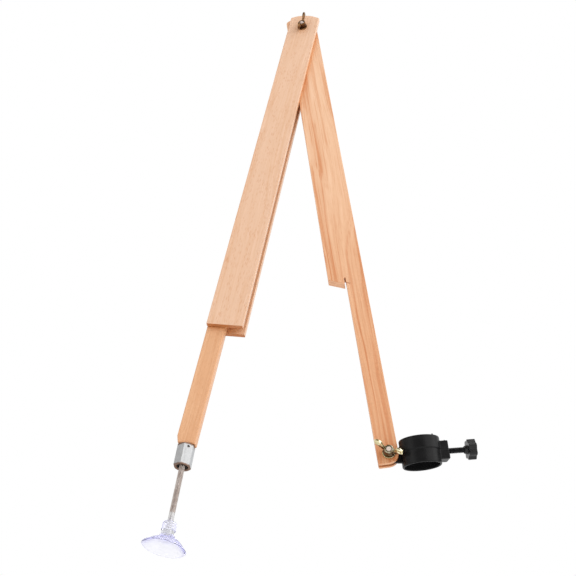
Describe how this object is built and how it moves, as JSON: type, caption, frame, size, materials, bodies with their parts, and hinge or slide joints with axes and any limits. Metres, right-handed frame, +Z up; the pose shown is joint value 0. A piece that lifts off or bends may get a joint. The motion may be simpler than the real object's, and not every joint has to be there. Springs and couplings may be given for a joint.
{
  "type": "folding easel support arm",
  "caption": "Folding wooden easel arm: a grooved leg with a screw-out suction foot and a swing arm ending in a post clamp ring.",
  "frame": {"origin": "middle of the clamp collar's bore, where a post holds the arm", "axes": "+Z up along the legs, +X from the suction foot towards the clamp knob, -Y the front with the wing nuts; the legs lie in the X-Z plane"},
  "size_m": [0.3165, 0.0477, 0.788],
  "materials": {
    "beech": "satin clear lacquer",
    "arm_beech": "satin clear lacquer",
    "bar_beech": "satin clear lacquer",
    "zinc": "bright zinc plate",
    "dark_steel": "dark oxide",
    "rod_steel": "plain threaded steel",
    "clear_vinyl": "clear soft vinyl with a violet tint",
    "aged_brass": "antique brass plate",
    "yellow_zinc": "yellow chromate zinc",
    "black_plastic": "satin moulded nylon",
    "black_steel": "black oxide",
    "grey_plastic": "satin"
  },
  "bodies": {
    "collar": {"clamp_collar": "black_plastic", "captive_nut": "zinc"},
    "swing_arm": {"swing_arm": "arm_beech", "clamp_bolt": "yellow_zinc"},
    "channel_leg": {"front_plate": "beech", "back_plate": "beech", "extension_bar": "bar_beech", "hex_sleeve": "zinc", "sleeve_pin": "dark_steel", "pivot_bolt": "aged_brass"},
    "clamp_washer": {"clamp_washer": "yellow_zinc"},
    "clamp_nut": {"clamp_wing_nut": "yellow_zinc"},
    "pivot_washer": {"pivot_washer": "aged_brass"},
    "pivot_nut": {"pivot_wing_nut": "aged_brass"},
    "pad": {"pressure_pad": "grey_plastic"},
    "screw": {"clamp_screw": "black_steel", "clamp_knob": "black_plastic"},
    "foot": {"suction_cup": "clear_vinyl", "cup_nut": "zinc"},
    "rod": {"threaded_rod": "rod_steel"}
  },
  "joints": [
    {"name": "collar_tilt", "type": "hinge", "parent": "collar", "child": "swing_arm", "pos_m": [-0.02986, 0, -0.00082], "axis": [0, 1, 0], "range_deg": [-78, 7]},
    {"name": "arm_fold", "type": "hinge", "parent": "swing_arm", "child": "channel_leg", "pos_m": [-0.10616, 0, 0.6711], "axis": [0, 1, 0], "range_deg": [-15, 164.5]},
    {"name": "clamp_washer_slide", "type": "slide", "parent": "swing_arm", "child": "clamp_washer", "axis": [0, -1, 0], "range_m": [0, 0.003]},
    {"name": "clamp_nut_turn", "type": "hinge", "parent": "clamp_washer", "child": "clamp_nut", "pos_m": [-0.02986, 0, -0.00082], "axis": [0, -1, 0], "range_deg": [0, 1080]},
    {"name": "pivot_washer_slide", "type": "slide", "parent": "channel_leg", "child": "pivot_washer", "axis": [0, -1, 0], "range_m": [0, 0.003]},
    {"name": "pivot_nut_turn", "type": "hinge", "parent": "pivot_washer", "child": "pivot_nut", "pos_m": [-0.10616, 0, 0.6711], "axis": [0, -1, 0], "range_deg": [0, 1080]},
    {"name": "pad_slide", "type": "slide", "parent": "collar", "child": "pad", "axis": [0.9832, 0.1504, 0.1033], "range_m": [-0.013, 0.0015]},
    {"name": "screw_turn", "type": "hinge", "parent": "pad", "child": "screw", "pos_m": [0, 0, 0], "axis": [0.9832, 0.1504, 0.1033], "range_deg": [-4680, 540]},
    {"name": "foot_slide", "type": "slide", "parent": "channel_leg", "child": "foot", "axis": [-0.1271, 0, -0.9919], "range_m": [-0.03, 0.02]},
    {"name": "rod_turn", "type": "hinge", "parent": "foot", "child": "rod", "pos_m": [-0.23827, 0, -0.05964], "axis": [-0.1271, 0, -0.9919], "range_deg": [-10800, 7200]}
  ],
  "couplings": [
    {"joint": "clamp_washer_slide", "follows": "clamp_nut_turn", "m_per_rad": 0.00015915},
    {"joint": "pivot_washer_slide", "follows": "pivot_nut_turn", "m_per_rad": 0.00015915},
    {"joint": "pad_slide", "follows": "screw_turn", "m_per_rad": 0.00015915},
    {"joint": "rod_turn", "follows": "foot_slide", "rad_per_m": 6283.2}
  ]
}
